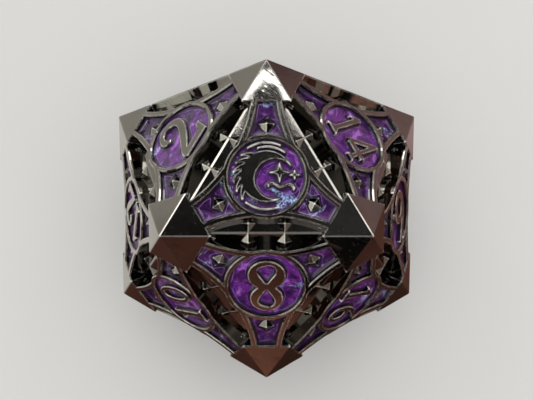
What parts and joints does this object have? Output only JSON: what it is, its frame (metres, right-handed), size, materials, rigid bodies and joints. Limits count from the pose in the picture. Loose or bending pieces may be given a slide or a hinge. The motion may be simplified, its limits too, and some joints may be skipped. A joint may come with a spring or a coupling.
{
  "type": "twenty-sided die",
  "caption": "Oversize icosahedral metal die with raised numerals, bowed rails and purple enamel poured into its face recesses.",
  "frame": {"origin": "centre of the die, where its opposite faces, edges and vertices are all equally far away", "axes": "+Z along the normal of the emblem face (value 20), -Z along the normal of the face it rests on (value 1), +Y towards the corner of the emblem face that the emblem's top points to"},
  "size_m": [0.0588, 0.0678, 0.055],
  "materials": {
    "plated_metal": "polished black nickel plate with fine polishing scratches",
    "purple_enamel": "glossy pearl enamel with swirled shimmer"
  },
  "bodies": {
    "root": {"cast_body": "plated_metal", "medallion_enamel_01": "purple_enamel", "medallion_enamel_02": "purple_enamel", "medallion_enamel_03": "purple_enamel", "medallion_enamel_04": "purple_enamel", "medallion_enamel_05": "purple_enamel", "medallion_enamel_06": "purple_enamel", "medallion_enamel_07": "purple_enamel", "medallion_enamel_08": "purple_enamel", "medallion_enamel_09": "purple_enamel", "medallion_enamel_10": "purple_enamel", "medallion_enamel_11": "purple_enamel", "medallion_enamel_12": "purple_enamel", "medallion_enamel_13": "purple_enamel", "medallion_enamel_14": "purple_enamel", "medallion_enamel_15": "purple_enamel", "medallion_enamel_16": "purple_enamel", "medallion_enamel_17": "purple_enamel", "medallion_enamel_18": "purple_enamel", "medallion_enamel_19": "purple_enamel", "medallion_enamel_20": "purple_enamel", "corner_enamel_01": "purple_enamel", "corner_enamel_02": "purple_enamel", "corner_enamel_03": "purple_enamel", "corner_enamel_04": "purple_enamel", "corner_enamel_05": "purple_enamel", "corner_enamel_06": "purple_enamel", "corner_enamel_07": "purple_enamel", "corner_enamel_08": "purple_enamel", "corner_enamel_09": "purple_enamel", "corner_enamel_10": "purple_enamel", "corner_enamel_11": "purple_enamel", "corner_enamel_12": "purple_enamel", "corner_enamel_13": "purple_enamel", "corner_enamel_14": "purple_enamel", "corner_enamel_15": "purple_enamel", "corner_enamel_16": "purple_enamel", "corner_enamel_17": "purple_enamel", "corner_enamel_18": "purple_enamel", "corner_enamel_19": "purple_enamel", "corner_enamel_20": "purple_enamel"}
  },
  "joints": []
}
